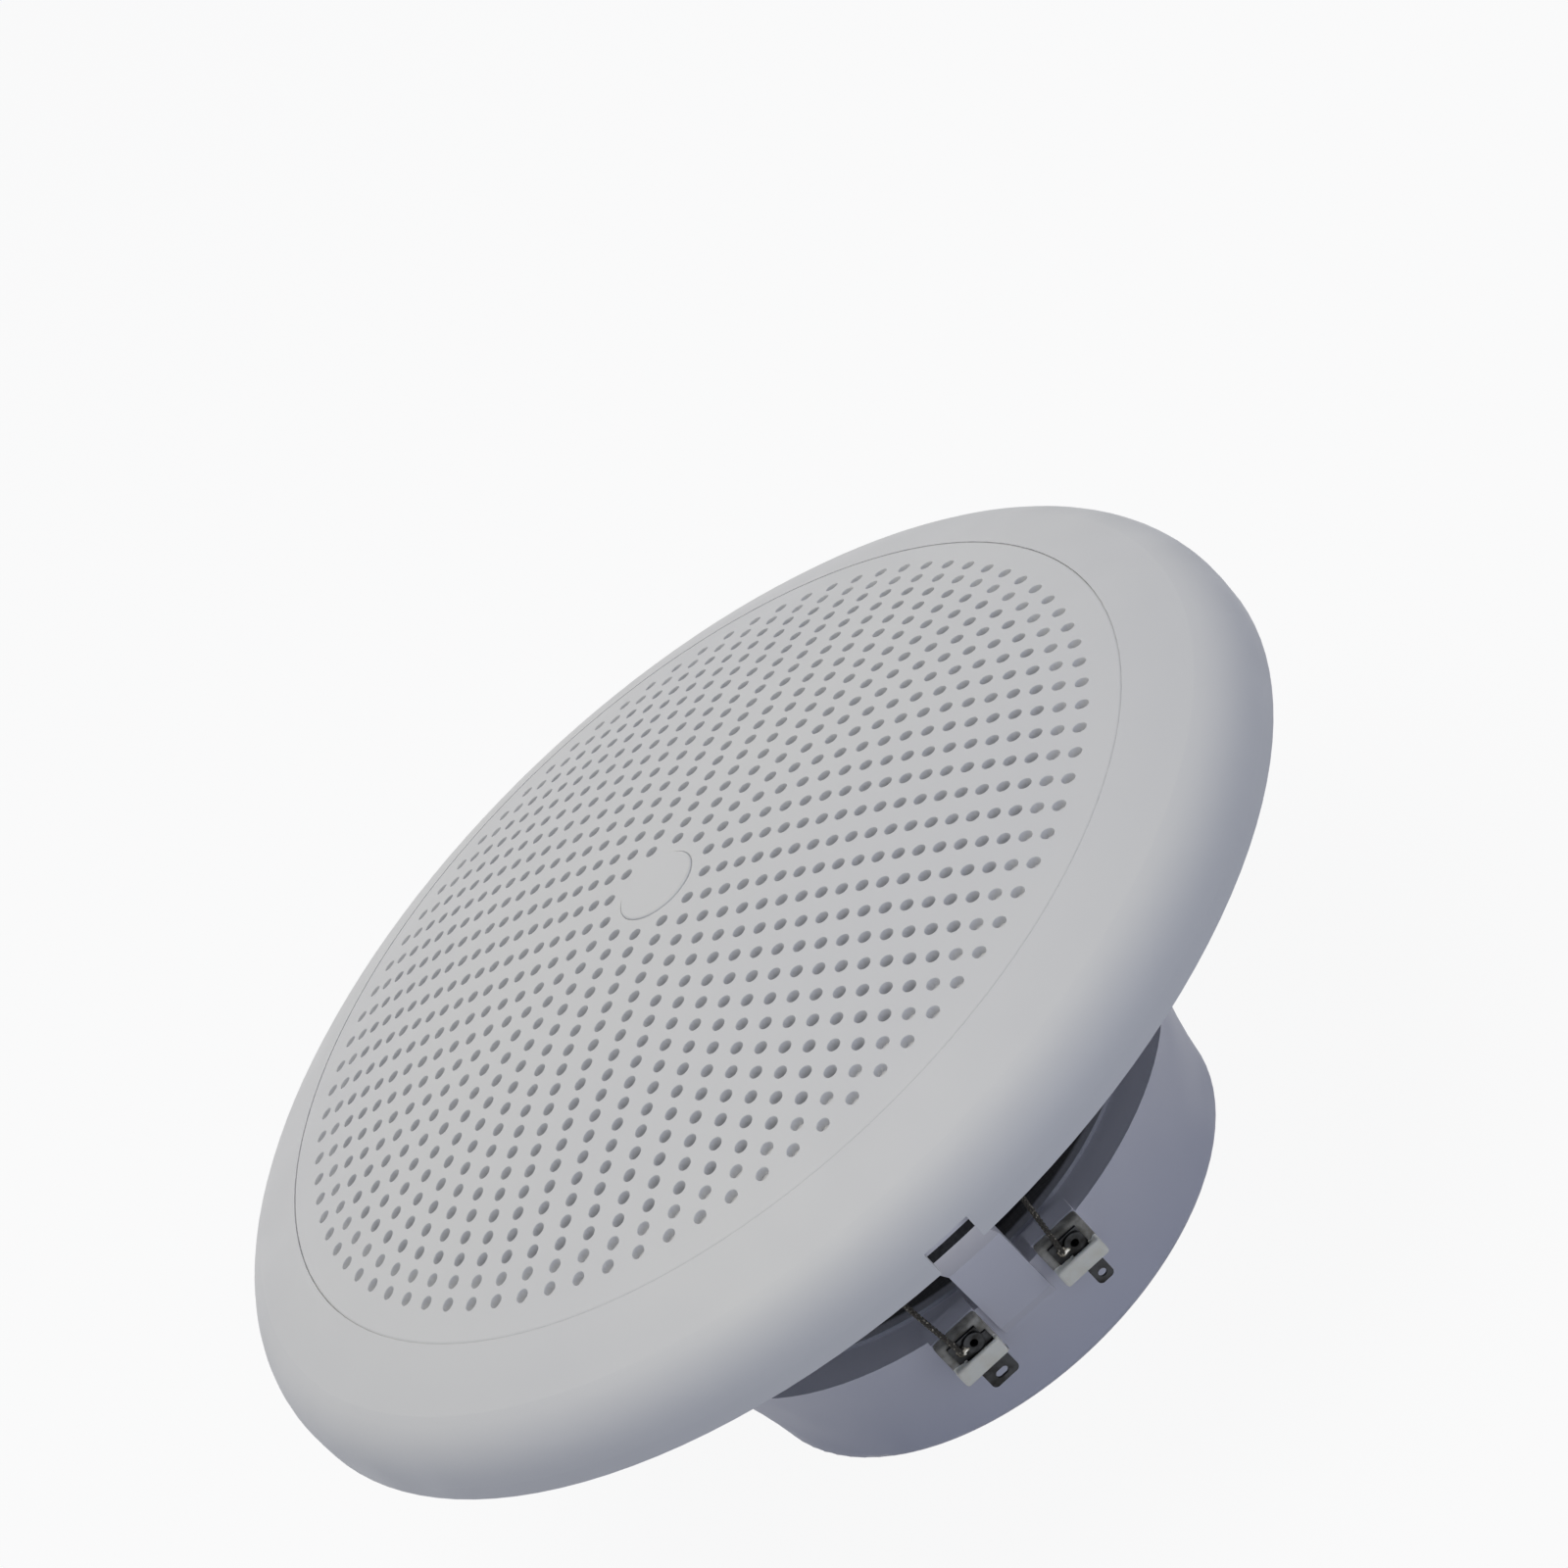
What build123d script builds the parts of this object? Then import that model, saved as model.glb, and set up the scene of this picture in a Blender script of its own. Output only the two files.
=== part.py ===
from build123d import *
import math
import os

# Round in-ceiling loudspeaker, in millimetres.
# The front faces +Z, z = 0 is the plane of the ceiling and the terminals are on the -Y side.

# Bezel ring
bezel_diameter = 180.0
bezel_height = 15.0
bezel_face_width = 15.1
bezel_wall = 2.2
bezel_edge_gap = 0.3
bezel_straight_edge = 2.8
shoulder_radius = 9.6
shoulder_sweep = 65.0
crown_underside_fall = 0.3
collar_wall = 3.0
ledge_width = 9.5
ledge_thickness = 1.8
clip_count = 6
clip_arc = 10.0
clip_height = 1.5
clip_bite = 0.7
clip_play = 0.2
pry_notch_width = 7.3
pry_notch_height = 4.2

# Grille
joint_line = 0.15
grille_thickness = 2.0
grille_crown = 8.6
grille_rim_width = 4.0
centre_disc_diameter = 12.6
centre_disc_rise = 0.3
hole_diameter = 2.0
hole_side_count = 4
hole_rings = 17
first_ring_radius = 9.44
last_ring_inset = 12.286
first_ring_holes = 12
holes_added_per_ring = 4
hole_pattern_angle = 45.0

# Basket
mounting_depth = 57.7
flange_thickness = 3.0
flange_play = 0.5
gasket_thickness = 2.0
gasket_width = 9.9
gasket_edge_play = 0.2
cut_out_play = 1.0
body_skirt_depth = 6.0
body_skirt_wall = 3.0
screw_hole_diameter = 4.4
screw_hole_count = 4
screw_hole_angle = 45.0
screw_hole_inset = 3.5
arm_count = 3
arm_angle = -91.4
arm_width = 9.4
arm_thickness = 3.0
arm_proud = 0.5
arm_bend_rise = 8.5
arm_foot_drop = 5.5
arm_foot_taper = 3.0
arm_rib_width = 3.0
arm_rib_edge_gap = 0.3
can_wall = 2.4
can_flare = 4.5
can_wall_bow = 0.6
can_back_radius = 1.5
can_floor_thickness = 2.2
can_floor_width = 8.0
spider_shelf_rise = 2.9
spider_shelf_width = 10.8
spider_shelf_rim = 6.6
rear_cap_thickness = 2.0
rear_cap_play = 0.2
rear_cap_rib_height = 1.8
rear_cap_rib_width = 2.0

# Motor
coil_bore = 25.6
former_wall = 0.4
winding_thickness = 0.7
winding_height = 8.0
pole_play = 0.35
winding_play = 0.4
top_plate_thickness = 3.5
magnet_diameter = 72.0
magnet_overhang = 1.0
magnet_height = 7.1
magnet_bore_step = 2.7
magnet_play = 3.9
yoke_thickness = 4.0
motor_screw_count = 4
motor_screw_diameter = 3.0
motor_screw_head = 5.6
motor_screw_length = 5.2
screw_play = 0.15

# Diaphragm and its suspension
surround_seat_width = 4.4
surround_roll_width = 7.6
surround_thickness = 0.7
surround_roll_facet_count = 6
surround_edge_play = 0.4
clamp_ring_height = 2.4
clamp_ring_width = 3.8
cone_lip_width = 3.0
cone_thickness = 0.8
cone_neck_height = 3.0
cone_neck_rise = 13.8
dust_cap_diameter = 37.0
dust_cap_crown = 6.5
dust_cap_thickness = 0.6
dust_cap_facet_count = 3
glue_line = 0.1
spider_thickness = 0.6
spider_wave_count = 3
spider_wave_height = 1.8
spider_neck_height = 2.4
spider_flat_width = 1.6

# Terminals and leads
terminal_block_width = 7.8
terminal_block_height = 7.1
terminal_plate_thickness = 2.2
terminal_bar_height = 3.0
terminal_bar_depth = 1.6
terminal_arm_gap = 1.3
terminal_shift = -0.7
right_terminal_rise = 1.0
terminal_lip_gap = 0.4
terminal_top_rise = 1.1
terminal_seat_reach = 4.0
tag_thickness = 0.5
tag_plate_width = 5.2
tag_top_margin = 0.7
tag_shift = 1.0
tag_play = 0.1
positive_lug_width = 4.8
positive_lug_hole = 2.0
negative_lug_width = 2.8
negative_lug_hole = 1.3
lug_length = 3.9
lug_corner_radius = 0.8
lug_hole_height = 1.2
lug_hole_inset = 1.5
rivet_diameter = 2.2
rivet_bore = 1.2
rivet_head_diameter = 3.2
rivet_head_height = 0.5
rivet_depth = 3.0
rivet_play = 0.1
lead_diameter = 0.9
lead_joint_shift = 1.2
lead_drift = 1.1
lead_rise = 10.0
lead_attach_share = 0.718
lead_end_gap = 0.9
lead_bend_radius = 7.0

# Heights of the stack, from the back of the can to the spider's shelf and from the ceiling to the grille
back_z = -mounting_depth
cap_front_z = back_z + rear_cap_thickness
yoke_front_z = cap_front_z + yoke_thickness
magnet_front_z = yoke_front_z + magnet_height
floor_back_z = magnet_front_z + top_plate_thickness
floor_front_z = floor_back_z + can_floor_thickness
shelf_z = floor_front_z + spider_shelf_rise
flange_back_z = gasket_thickness
flange_front_z = flange_back_z + flange_thickness
ledge_z = bezel_height - grille_thickness

# Radii from the bezel inwards
bezel_radius = bezel_diameter / 2
joint_radius = bezel_radius - bezel_face_width
grille_radius = joint_radius - joint_line
ledge_radius = grille_radius - ledge_width
ring_pitch = (grille_radius - last_ring_inset - first_ring_radius) / (hole_rings - 1)
flange_radius = bezel_radius - bezel_wall - flange_play
clip_radius = flange_radius - clip_bite
gasket_radius = clip_radius - gasket_edge_play
gasket_bore_radius = gasket_radius - gasket_width
screw_circle_radius = gasket_bore_radius + screw_hole_inset
body_radius = gasket_bore_radius - cut_out_play
body_bore_radius = body_radius - body_skirt_wall
collar_radius = body_radius
collar_bore_radius = collar_radius - collar_wall
surround_radius = collar_bore_radius - surround_edge_play
roll_outer_radius = surround_radius - surround_seat_width
roll_inner_radius = roll_outer_radius - surround_roll_width
cone_radius = roll_inner_radius
cone_edge_radius = cone_radius - cone_lip_width
lead_attach_radius = cone_edge_radius * lead_attach_share

# Radii from the pole outwards
former_bore_radius = coil_bore / 2
pole_radius = former_bore_radius - pole_play
former_radius = former_bore_radius + former_wall
winding_radius = former_radius + winding_thickness
plate_bore_radius = winding_radius + winding_play
magnet_radius = magnet_diameter / 2
plate_radius = magnet_radius - magnet_overhang
magnet_bore_radius = plate_bore_radius + magnet_bore_step
can_bore_radius = magnet_radius + magnet_play
can_radius = can_bore_radius + can_wall
lip_radius = can_radius + can_flare
shelf_bore_radius = lip_radius - spider_shelf_width
floor_bore_radius = plate_radius - can_floor_width
motor_screw_circle_radius = plate_radius - can_floor_width / 2
spider_radius = lip_radius - spider_shelf_rim
neck_radius = former_radius + glue_line

# Cone heights
neck_z = shelf_z + cone_neck_rise
cone_lip_z = flange_front_z
cone_edge_z = cone_lip_z - cone_thickness
cone_foot_radius = neck_radius + cone_thickness
winding_mid_z = floor_back_z - top_plate_thickness / 2

# Terminal places
terminal_x = arm_width / 2 + terminal_arm_gap + terminal_block_width / 2
terminal_seat_y = -(lip_radius + terminal_lip_gap)
terminal_face_y = terminal_seat_y - terminal_plate_thickness
terminal_bar_y = terminal_face_y - terminal_bar_depth
terminal_top_z = shelf_z + terminal_top_rise
terminal_foot_z = terminal_top_z - terminal_block_height
terminal_bar_z = terminal_foot_z + terminal_bar_height
tag_top_z = terminal_top_z - tag_top_margin
tag_tip_z = terminal_foot_z - lug_length
rivet_z = (tag_top_z + terminal_bar_z) / 2


def polar(centre, radius, angle):
    """Point at an angle in degrees round a centre in a radius and height section."""
    turn = math.radians(angle)
    return (centre[0] + radius * math.cos(turn), centre[1] + radius * math.sin(turn))


def turned(*edges):
    """Solid turned about Z from the edges of a closed section of radius and height."""
    return revolve(Plane.XZ * make_face(edges), Axis.Z)


def turned_polygon(*points):
    """Solid turned about Z from the corners of a section of radius and height."""
    return turned(*Polyline(*points, close=True).edges())


def ring(inner, outer, low, high):
    """Plain ring between two radii and two heights."""
    return turned_polygon((inner, low), (outer, low), (outer, high), (inner, high))


def disc(radius, low, high):
    """Plain round disc between two heights."""
    return Pos(0, 0, low) * Cylinder(radius, high - low, align=(Align.CENTER, Align.CENTER, Align.MIN))


def along_y(radius, x, z, y_from, y_to):
    """Round bar parallel to Y between two places."""
    bar = Cylinder(radius, abs(y_to - y_from))
    return Pos(x, (y_from + y_to) / 2, z) * Rot(90, 0, 0) * bar


def block(x_mid, width, y_from, y_to, z_low, z_high):
    """Rectangular block centred on x between two places along Y and Z."""
    middle = (x_mid, (y_from + y_to) / 2, (z_low + z_high) / 2)
    return Pos(*middle) * Box(width, abs(y_to - y_from), z_high - z_low)


def sphere_radius(edge_radius, crown):
    """Radius of the sphere of a dome with a given edge and crown height."""
    return (edge_radius**2 + crown**2) / (2 * crown)


def on_sphere(sphere, centre_z, radius):
    """Point of a sphere's upper half in a section of radius and height."""
    return (radius, centre_z + math.sqrt(sphere**2 - radius**2))


def dome_arc(sphere, centre_z, start, end):
    """Arc of a dome between two radii."""
    middle = (start + end) / 2
    return ThreePointArc(*(on_sphere(sphere, centre_z, radius) for radius in (start, middle, end)))


def cone_slope():
    """Rise of the cone's wall for each unit of radius."""
    return (cone_edge_z - neck_z) / (cone_edge_radius - cone_foot_radius)


def cone_back(radius):
    """Height of the cone's rear face."""
    return neck_z + cone_slope() * (radius - cone_foot_radius)


def cone_front(radius):
    """Height of the cone's front face."""
    return cone_back(radius) + cone_thickness * math.hypot(1, cone_slope())


def can_face(height):
    """Radius of the straight line from the can's lip to its back edge."""
    share = (height - back_z) / (shelf_z - back_z)
    return can_radius + share * can_flare


def make_bezel_ring():
    centre = (bezel_radius - shoulder_radius, bezel_straight_edge)
    inside = shoulder_radius - bezel_wall
    skirt_bore = bezel_radius - bezel_wall
    shoulder_end = polar(centre, shoulder_radius, shoulder_sweep)
    inside_end = polar(centre, inside, shoulder_sweep)
    crown_way = polar((0, 0), 1, shoulder_sweep + 90)
    underside = (collar_radius, bezel_height - bezel_wall - crown_underside_fall)
    ledge_back_z = ledge_z - ledge_thickness
    skirt_top = (bezel_radius, bezel_straight_edge)
    inside_start = (skirt_bore, bezel_straight_edge)
    body = turned(
        Line((bezel_radius, bezel_edge_gap), skirt_top),
        ThreePointArc(skirt_top, polar(centre, shoulder_radius, shoulder_sweep / 2), shoulder_end),
        TangentArc(shoulder_end, (joint_radius, bezel_height), tangent=crown_way),
        Polyline(
            (joint_radius, bezel_height),
            (joint_radius, ledge_z),
            (ledge_radius, ledge_z),
            (ledge_radius, ledge_back_z),
            (collar_bore_radius, ledge_back_z),
            (collar_bore_radius, flange_front_z),
            (collar_radius, flange_front_z),
            underside,
        ),
        TangentArc(inside_end, underside, tangent=crown_way),
        ThreePointArc(inside_end, polar(centre, inside, shoulder_sweep / 2), inside_start),
        Polyline(inside_start, (skirt_bore, bezel_edge_gap), (bezel_radius, bezel_edge_gap)),
    )
    clip_top = flange_back_z - clip_play
    clip_mid_wall = bezel_radius - bezel_wall / 2
    clip_section = Polyline(
        (clip_radius, clip_top),
        (clip_mid_wall, clip_top),
        (clip_mid_wall, clip_top - clip_height),
        (skirt_bore, clip_top - clip_height),
        close=True,
    )
    clip = revolve(Plane.XZ * make_face(clip_section), Axis.Z, clip_arc)
    for number in range(clip_count):
        body += Rot(0, 0, number * 360 / clip_count - clip_arc / 2) * clip
    notch_back_y = -bezel_radius + 2 * bezel_wall
    notch = block(0, pry_notch_width, notch_back_y, -bezel_radius - bezel_wall, 0, pry_notch_height)
    return body - notch


def hole_outline():
    """Polygon of few sides with the area of one round hole."""
    turn = 2 * math.pi / hole_side_count
    return RegularPolygon(hole_diameter / 2 * math.sqrt(turn / math.sin(turn)), hole_side_count)


def make_grille():
    sphere = sphere_radius(grille_radius, grille_crown)
    inner_sphere = sphere - grille_thickness
    crown_z = bezel_height + grille_crown
    centre_z = crown_z - sphere
    rim_bore = grille_radius - grille_rim_width
    dome = turned(
        Line((0, crown_z - grille_thickness), (0, crown_z)),
        dome_arc(sphere, centre_z, 0, grille_radius),
        Polyline(
            (grille_radius, bezel_height),
            (grille_radius, ledge_z),
            (rim_bore, ledge_z),
            on_sphere(inner_sphere, centre_z, rim_bore),
        ),
        dome_arc(inner_sphere, centre_z, 0, rim_bore),
    )
    dome += disc(centre_disc_diameter / 2, crown_z - grille_thickness / 2, crown_z + centre_disc_rise)
    drill_length = grille_crown + 3 * grille_thickness
    drill = Pos(0, 0, ledge_z - grille_thickness) * extrude(hole_outline(), drill_length)
    holes = []
    for number in range(hole_rings):
        radius = first_ring_radius + number * ring_pitch
        count = first_ring_holes + number * holes_added_per_ring
        holes += [place * drill for place in PolarLocations(radius, count, start_angle=hole_pattern_angle)]
    return dome - holes


def make_arm():
    """One flat arm along +X, up from the can's wall and flared out to the body skirt, with a rib."""
    flange_mid_z = flange_back_z + flange_thickness / 2
    top_z = -body_skirt_depth
    bend_z = shelf_z + arm_bend_rise
    taper_z = shelf_z - arm_foot_drop
    foot_z = taper_z - arm_foot_taper
    skirt_mid_radius = body_radius - body_skirt_wall / 2
    bend_radius = can_face(bend_z) + arm_proud
    flare = math.atan2(top_z - bend_z, body_radius - bend_radius)

    def flare_point(radius, share):
        """Point of the flare at a radius, from its outer face at share 0 to its inner face at share 1."""
        level_rise = share * arm_thickness / math.cos(flare)
        return (radius, bend_z + (radius - bend_radius) * math.tan(flare) + level_rise)

    inner_bend_radius = bend_radius - arm_thickness * math.sin(flare)
    outline = Polyline(
        (body_radius, flange_mid_z),
        (body_radius, top_z),
        (bend_radius, bend_z),
        (can_face(taper_z) + arm_proud, taper_z),
        (can_face(foot_z) - can_wall / 2, foot_z),
        (bend_radius - arm_thickness, bend_z),
        flare_point(inner_bend_radius, 1),
        flare_point(body_bore_radius, 1),
        (body_bore_radius, flange_mid_z),
        close=True,
    )
    rib_outline = Polyline(
        (skirt_mid_radius, flange_mid_z),
        (roll_outer_radius + arm_rib_edge_gap, flange_mid_z),
        flare_point(inner_bend_radius, 1),
        flare_point(bend_radius, 0.5),
        flare_point(skirt_mid_radius, 0.5),
        close=True,
    )
    strap = extrude(Plane.XZ * make_face(outline), arm_width / 2, both=True)
    return strap + extrude(Plane.XZ * make_face(rib_outline), arm_rib_width / 2, both=True)


def make_can():
    """Cup with flared lip, spider shelf and a floor for the motor."""
    back_corner = can_radius - can_back_radius
    fillet_top = (can_radius, back_z + can_back_radius)
    fillet_mid = polar((back_corner, back_z + can_back_radius), can_back_radius, -45)
    bow_z = (shelf_z + fillet_top[1]) / 2
    bow = ((lip_radius + can_radius) / 2 - can_wall_bow, bow_z)
    return turned(
        ThreePointArc((lip_radius, shelf_z), bow, fillet_top),
        ThreePointArc(fillet_top, fillet_mid, (back_corner, back_z)),
        Polyline(
            (back_corner, back_z),
            (can_bore_radius, back_z),
            (can_bore_radius, floor_back_z),
            (floor_bore_radius, floor_back_z),
            (floor_bore_radius, floor_front_z),
            (shelf_bore_radius, floor_front_z),
            (shelf_bore_radius, shelf_z),
            (lip_radius, shelf_z),
        ),
    )


def make_motor_screw(play):
    """Countersunk screw along Z with its head flush with the can's floor."""
    shank = motor_screw_diameter / 2 + play
    head = motor_screw_head / 2 + play
    taper_z = floor_front_z - (head - shank)
    return turned_polygon(
        (0, floor_front_z),
        (head, floor_front_z),
        (shank, taper_z),
        (shank, floor_front_z - motor_screw_length - play),
        (0, floor_front_z - motor_screw_length - play),
    )


def motor_screw_places():
    return PolarLocations(motor_screw_circle_radius, motor_screw_count, start_angle=screw_hole_angle)


def flange_screw_holes():
    drill = disc(screw_hole_diameter / 2, -gasket_thickness, flange_front_z + flange_thickness)
    places = PolarLocations(screw_circle_radius, screw_hole_count, start_angle=screw_hole_angle)
    return [place * drill for place in places]


def make_basket():
    body = ring(roll_outer_radius, flange_radius, flange_back_z, flange_front_z)
    body += ring(body_bore_radius, body_radius, -body_skirt_depth, flange_back_z + flange_thickness / 2)
    body += make_can()
    arm = make_arm()
    for number in range(arm_count):
        body += Rot(0, 0, arm_angle + number * 360 / arm_count) * arm
    rivet_end = terminal_seat_y + rivet_depth + rivet_play
    rivet_holes = []
    for side in (-1, 1):
        seat_end = terminal_seat_y + terminal_seat_reach
        foot, top = (z + terminal_rise(side) for z in (terminal_foot_z, terminal_top_z))
        body += block(terminal_middle(side), terminal_block_width, terminal_seat_y, seat_end, foot, top)
        rivet_holes.append(rivet_hole(side, rivet_end))
    screw_holes = [place * make_motor_screw(screw_play) for place in motor_screw_places()]
    return body - flange_screw_holes() - screw_holes - rivet_holes


def make_flange_gasket():
    return ring(gasket_bore_radius, gasket_radius, 0, gasket_thickness) - flange_screw_holes()


def half_roll(mid, base_z, radius):
    """Corners of a half-round roll from its inner to its outer side."""
    step = 180 / surround_roll_facet_count
    numbers = range(surround_roll_facet_count + 1)
    return [polar((mid, base_z), radius, 180 - number * step) for number in numbers]


def make_surround():
    """Half-roll edge with a flat seat on the cone's lip and one on the flange."""
    mid = (roll_outer_radius + roll_inner_radius) / 2
    low = flange_front_z
    high = low + surround_thickness
    outer_bow = surround_roll_width / 2
    inner_bow = outer_bow - surround_thickness
    return turned_polygon(
        (cone_edge_radius, low),
        (cone_edge_radius, high),
        *half_roll(mid, high, outer_bow),
        (surround_radius, high),
        (surround_radius, low),
        (mid + inner_bow, low),
        *reversed(half_roll(mid, high, inner_bow)),
        (mid - inner_bow, low),
    )


def make_surround_clamp_ring():
    low = flange_front_z + surround_thickness
    return ring(surround_radius - clamp_ring_width, surround_radius, low, low + clamp_ring_height)


def make_cone():
    collar_z = neck_z - cone_neck_height
    lip_start = cone_foot_radius + (cone_lip_z - cone_front(cone_foot_radius)) / cone_slope()
    return turned_polygon(
        (neck_radius, collar_z),
        (cone_foot_radius, collar_z),
        (cone_foot_radius, neck_z),
        (cone_edge_radius, cone_edge_z),
        (cone_radius, cone_edge_z),
        (cone_radius, cone_lip_z),
        (lip_start, cone_lip_z),
        (neck_radius, cone_front(neck_radius)),
    )


def make_dust_cap():
    """Thin dome of a few conical bands, glued to the cone's front."""
    radius = dust_cap_diameter / 2
    sphere = sphere_radius(radius, dust_cap_crown)
    inner_sphere = sphere - dust_cap_thickness
    low = cone_front(radius) + glue_line
    centre_z = low + dust_cap_crown - sphere
    inside = math.sqrt(inner_sphere**2 - (low - centre_z) ** 2)
    shares = [number / dust_cap_facet_count for number in range(dust_cap_facet_count + 1)]
    outer = [on_sphere(sphere, centre_z, share * radius) for share in shares]
    inner = [on_sphere(inner_sphere, centre_z, share * inside) for share in shares]
    return turned_polygon(*outer, *reversed(inner))


def make_voice_coil_former():
    low = winding_mid_z - winding_height / 2 - former_wall
    return ring(former_bore_radius, former_radius, low, cone_front(neck_radius))


def make_voice_coil():
    half = winding_height / 2
    return ring(former_radius, winding_radius, winding_mid_z - half, winding_mid_z + half)


def make_spider():
    """Corrugated disc with a flat edge on the shelf and a neck on the coil former."""
    neck_outer = neck_radius + spider_thickness
    first = neck_outer + spider_flat_width
    last = shelf_bore_radius
    half_wave = (last - first) / (2 * spider_wave_count)
    line = [(neck_outer, 0), (first, 0)]
    for number in range(2 * spider_wave_count):
        side = 1 if number % 2 == 0 else -1
        line.append((first + (number + 0.5) * half_wave, side * spider_wave_height / 2))
    line += [(last, 0), (spider_radius, 0)]
    upper = [(radius, shelf_z + spider_thickness + height) for radius, height in line]
    lower = [(radius, shelf_z + height) for radius, height in line]
    neck_top = shelf_z + spider_neck_height
    neck = [(neck_radius, shelf_z), (neck_radius, neck_top), (neck_outer, neck_top)]
    return turned_polygon(*neck, *upper, *reversed(lower))


def make_top_plate():
    plate = ring(plate_bore_radius, plate_radius, magnet_front_z, floor_back_z)
    return plate - [place * make_motor_screw(screw_play) for place in motor_screw_places()]


def make_magnet():
    return ring(magnet_bore_radius, magnet_radius, yoke_front_z, magnet_front_z)


def make_pole_yoke():
    return disc(plate_radius, cap_front_z, yoke_front_z) + disc(pole_radius, cap_front_z, floor_back_z)


def make_rear_cap():
    radius = can_bore_radius - rear_cap_play
    rib_radius = (radius + plate_radius + rear_cap_rib_width) / 2
    rib = ring(rib_radius - rear_cap_rib_width, rib_radius, cap_front_z, cap_front_z + rear_cap_rib_height)
    return disc(radius, back_z, cap_front_z) + rib


def make_motor_screws():
    return Compound(children=[place * make_motor_screw(0) for place in motor_screw_places()])


def terminal_middle(side):
    """Middle of a terminal block, to one side of the arm."""
    return side * terminal_x + terminal_shift


def terminal_rise(side):
    """Height of a terminal above the left one."""
    return right_terminal_rise if side > 0 else 0


def tag_x(side):
    """Middle of a tag's lug and rivet: both tags are the same way round."""
    return terminal_middle(side) + tag_shift


def rivet_hole(side, inner_end):
    """Clearance hole for a rivet from its head to a place along Y."""
    height = rivet_z + terminal_rise(side)
    return along_y(rivet_diameter / 2 + rivet_play, tag_x(side), height, terminal_bar_y, inner_end)


def make_terminal_block(side, lug_width):
    """Insulating plate with a thicker bar at its foot and a slot for the tag's lug."""
    x = terminal_middle(side)
    rise = terminal_rise(side)
    foot, bar_top, top = (z + rise for z in (terminal_foot_z, terminal_bar_z, terminal_top_z))
    body = block(x, terminal_block_width, terminal_seat_y, terminal_face_y, foot, top)
    body += block(x, terminal_block_width, terminal_seat_y, terminal_bar_y, foot, bar_top)
    slot_back = terminal_face_y - tag_thickness - tag_play
    slot_width = lug_width + 2 * tag_play
    body -= block(tag_x(side), slot_width, terminal_face_y, slot_back, foot, bar_top)
    return body - rivet_hole(side, terminal_seat_y)


def make_tag(side, lug_width, hole_width):
    """Flat solder tag: a riveted plate above the bar, and a lug with a hole that passes down through it."""
    plate_low = terminal_bar_z + tag_play
    lug_x = tag_x(side)
    lug = Pos(lug_x, (tag_tip_z + rivet_z) / 2) * Rectangle(lug_width, rivet_z - tag_tip_z)
    lug = fillet(lug.vertices().group_by(Axis.Y)[0], lug_corner_radius)
    plate_middle = (terminal_middle(side), (tag_top_z + plate_low) / 2)
    sheet = Pos(*plate_middle) * Rectangle(tag_plate_width, tag_top_z - plate_low) + lug
    sheet -= Pos(lug_x, tag_tip_z + lug_hole_inset) * SlotOverall(hole_width, lug_hole_height)
    tag = Pos(0, terminal_face_y, terminal_rise(side)) * extrude(Plane.XZ * sheet, tag_thickness)
    return tag - rivet_hole(side, terminal_face_y)


def make_rivet(side):
    """Hollow rivet through tag and plate into the basket's seat."""
    head_back = terminal_face_y - tag_thickness
    head_front = head_back - rivet_head_height
    end = terminal_seat_y + rivet_depth
    x = tag_x(side)
    height = rivet_z + terminal_rise(side)
    body = along_y(rivet_diameter / 2, x, height, head_back, end)
    body += along_y(rivet_head_diameter / 2, x, height, head_front, head_back)
    return body - along_y(rivet_bore / 2, x, height, head_front, end)


def make_terminal_rivets():
    return Compound(children=[make_rivet(side) for side in (-1, 1)])


def make_tinsel_lead(side):
    """Limp lead from the tag's plate up past the can's lip to the back of the cone."""
    joint_x = terminal_middle(side) - lead_joint_shift
    joint_z = rivet_z + terminal_rise(side)
    top_x = joint_x + side * lead_drift
    start = (joint_x, terminal_face_y - tag_thickness - lead_diameter / 2 - glue_line, joint_z)
    first = (top_x, start[1] + lead_diameter, joint_z + lead_rise)
    end_y = -math.sqrt(lead_attach_radius**2 - top_x**2)
    end = (top_x, end_y, cone_back(lead_attach_radius) - lead_end_gap)
    second = (top_x + side * lead_drift, (first[1] + end[1]) / 2, (first[2] + end[2]) / 2)
    route = FilletPolyline(start, first, second, end, radius=lead_bend_radius)
    profile = Plane(origin=route @ 0, z_dir=route % 0) * Circle(lead_diameter / 2)
    return sweep(profile, route)


nodes = {
    "bezel_ring": make_bezel_ring(),
    "grille": make_grille(),
    "basket": make_basket(),
    "flange_gasket": make_flange_gasket(),
    "surround": make_surround(),
    "surround_clamp_ring": make_surround_clamp_ring(),
    "cone": make_cone(),
    "dust_cap": make_dust_cap(),
    "voice_coil_former": make_voice_coil_former(),
    "voice_coil": make_voice_coil(),
    "spider": make_spider(),
    "top_plate": make_top_plate(),
    "magnet": make_magnet(),
    "pole_yoke": make_pole_yoke(),
    "rear_cap": make_rear_cap(),
    "motor_screws": make_motor_screws(),
    "terminal_block_left": make_terminal_block(-1, positive_lug_width),
    "terminal_block_right": make_terminal_block(1, negative_lug_width),
    "positive_tag": make_tag(-1, positive_lug_width, positive_lug_hole),
    "negative_tag": make_tag(1, negative_lug_width, negative_lug_hole),
    "terminal_rivets": make_terminal_rivets(),
    "tinsel_lead_left": make_tinsel_lead(-1),
    "tinsel_lead_right": make_tinsel_lead(1),
}

os.makedirs("parts", exist_ok=True)
for name, shape in nodes.items():
    export_step(shape, f"parts/{name}.step")
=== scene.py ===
import math

import bmesh
import bpy
import numpy as np
from mathutils import Matrix, Vector, noise
from mathutils.geometry import delaunay_2d_cdt


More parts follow.
